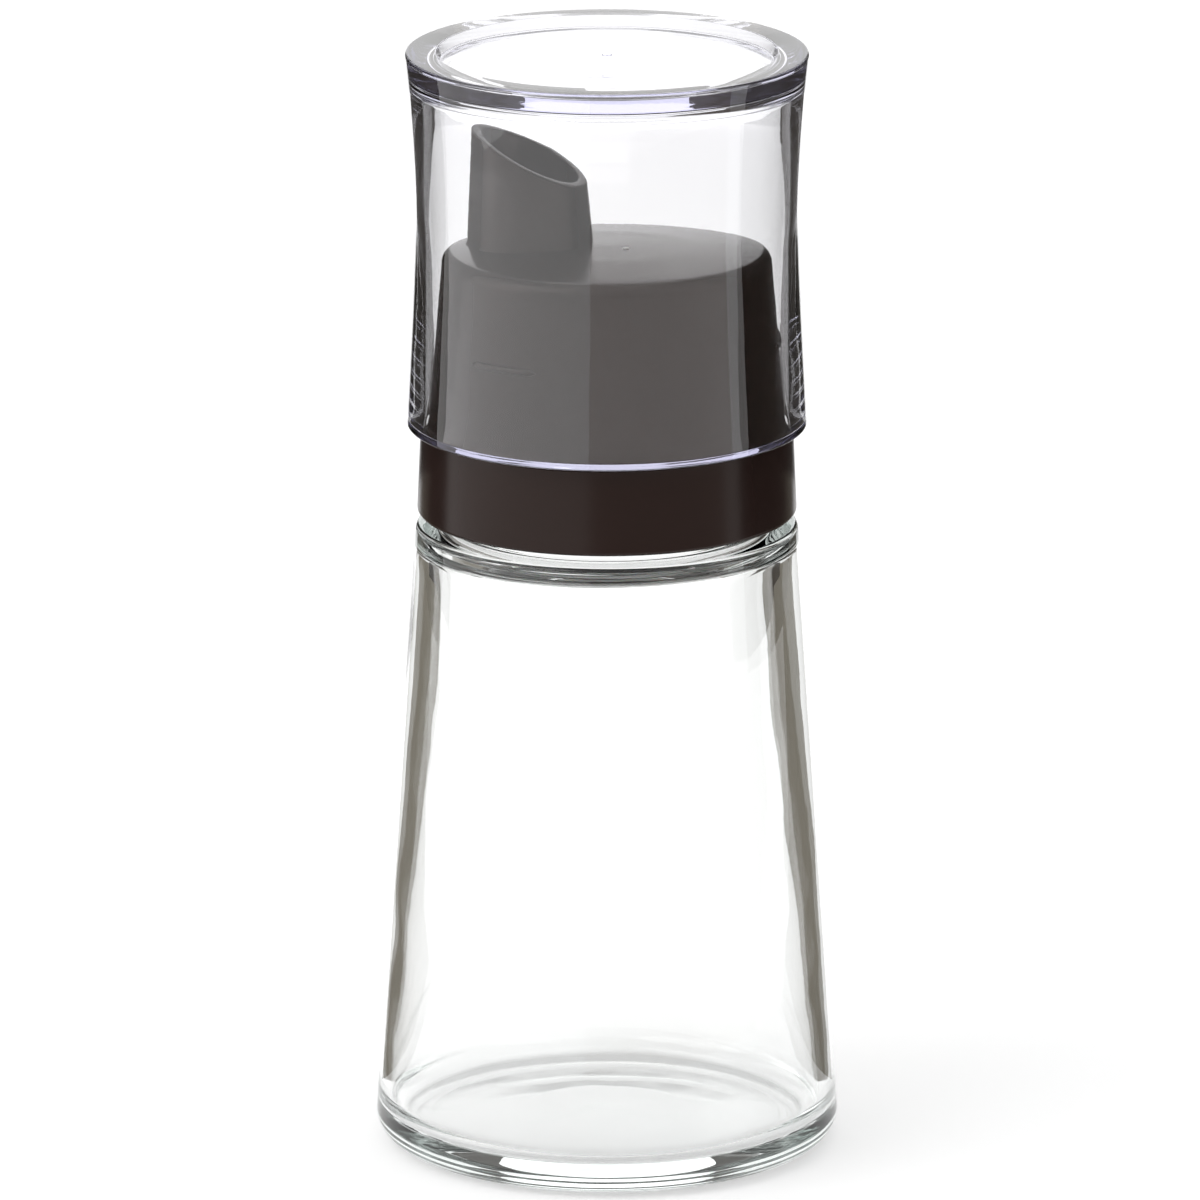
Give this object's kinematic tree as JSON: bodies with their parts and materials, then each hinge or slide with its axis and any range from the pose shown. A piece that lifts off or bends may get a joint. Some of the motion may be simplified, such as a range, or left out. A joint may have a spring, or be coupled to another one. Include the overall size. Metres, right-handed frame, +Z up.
{
  "type": "condiment container",
  "caption": "Tapered clear glass bottle with a black screw-on lid that has a slant-cut pouring spout, under a clear pull-off cap, for soy sauce or dressing.",
  "frame": {"origin": "centre of the ring the bottle stands on", "axes": "+Z up along the bottle's axis, the spout's tip on the -X side"},
  "size_m": [0.058, 0.058, 0.1391],
  "materials": {
    "glass": "clear polished glass with a faint green tint where it is thick",
    "black_plastic": "satin warm black, fine moulded texture",
    "silicone": "milky translucent silicone",
    "clear_plastic": "clear polished plastic with a faint violet tint at the thick rim"
  },
  "bodies": {
    "bottle": {"glass_bottle": "glass"},
    "gasket": {"lid_gasket": "silicone"},
    "lid": {"pourer_lid": "black_plastic"},
    "cap": {"clear_cap": "clear_plastic"}
  },
  "joints": [
    {"name": "lid_rise", "type": "slide", "parent": "bottle", "child": "gasket", "axis": [0, 0, 1], "range_m": [0, 0.01261]},
    {"name": "lid_turn", "type": "hinge", "parent": "gasket", "child": "lid", "pos_m": [0, 0, 0.0866], "axis": [0, 0, 1], "range_deg": [0, 1080]},
    {"name": "cap_pull", "type": "slide", "parent": "lid", "child": "cap", "axis": [0, 0, 1], "range_m": [0, 0.06]}
  ],
  "couplings": [
    {"joint": "lid_rise", "follows": "lid_turn", "m_per_rad": 0.00066845}
  ]
}
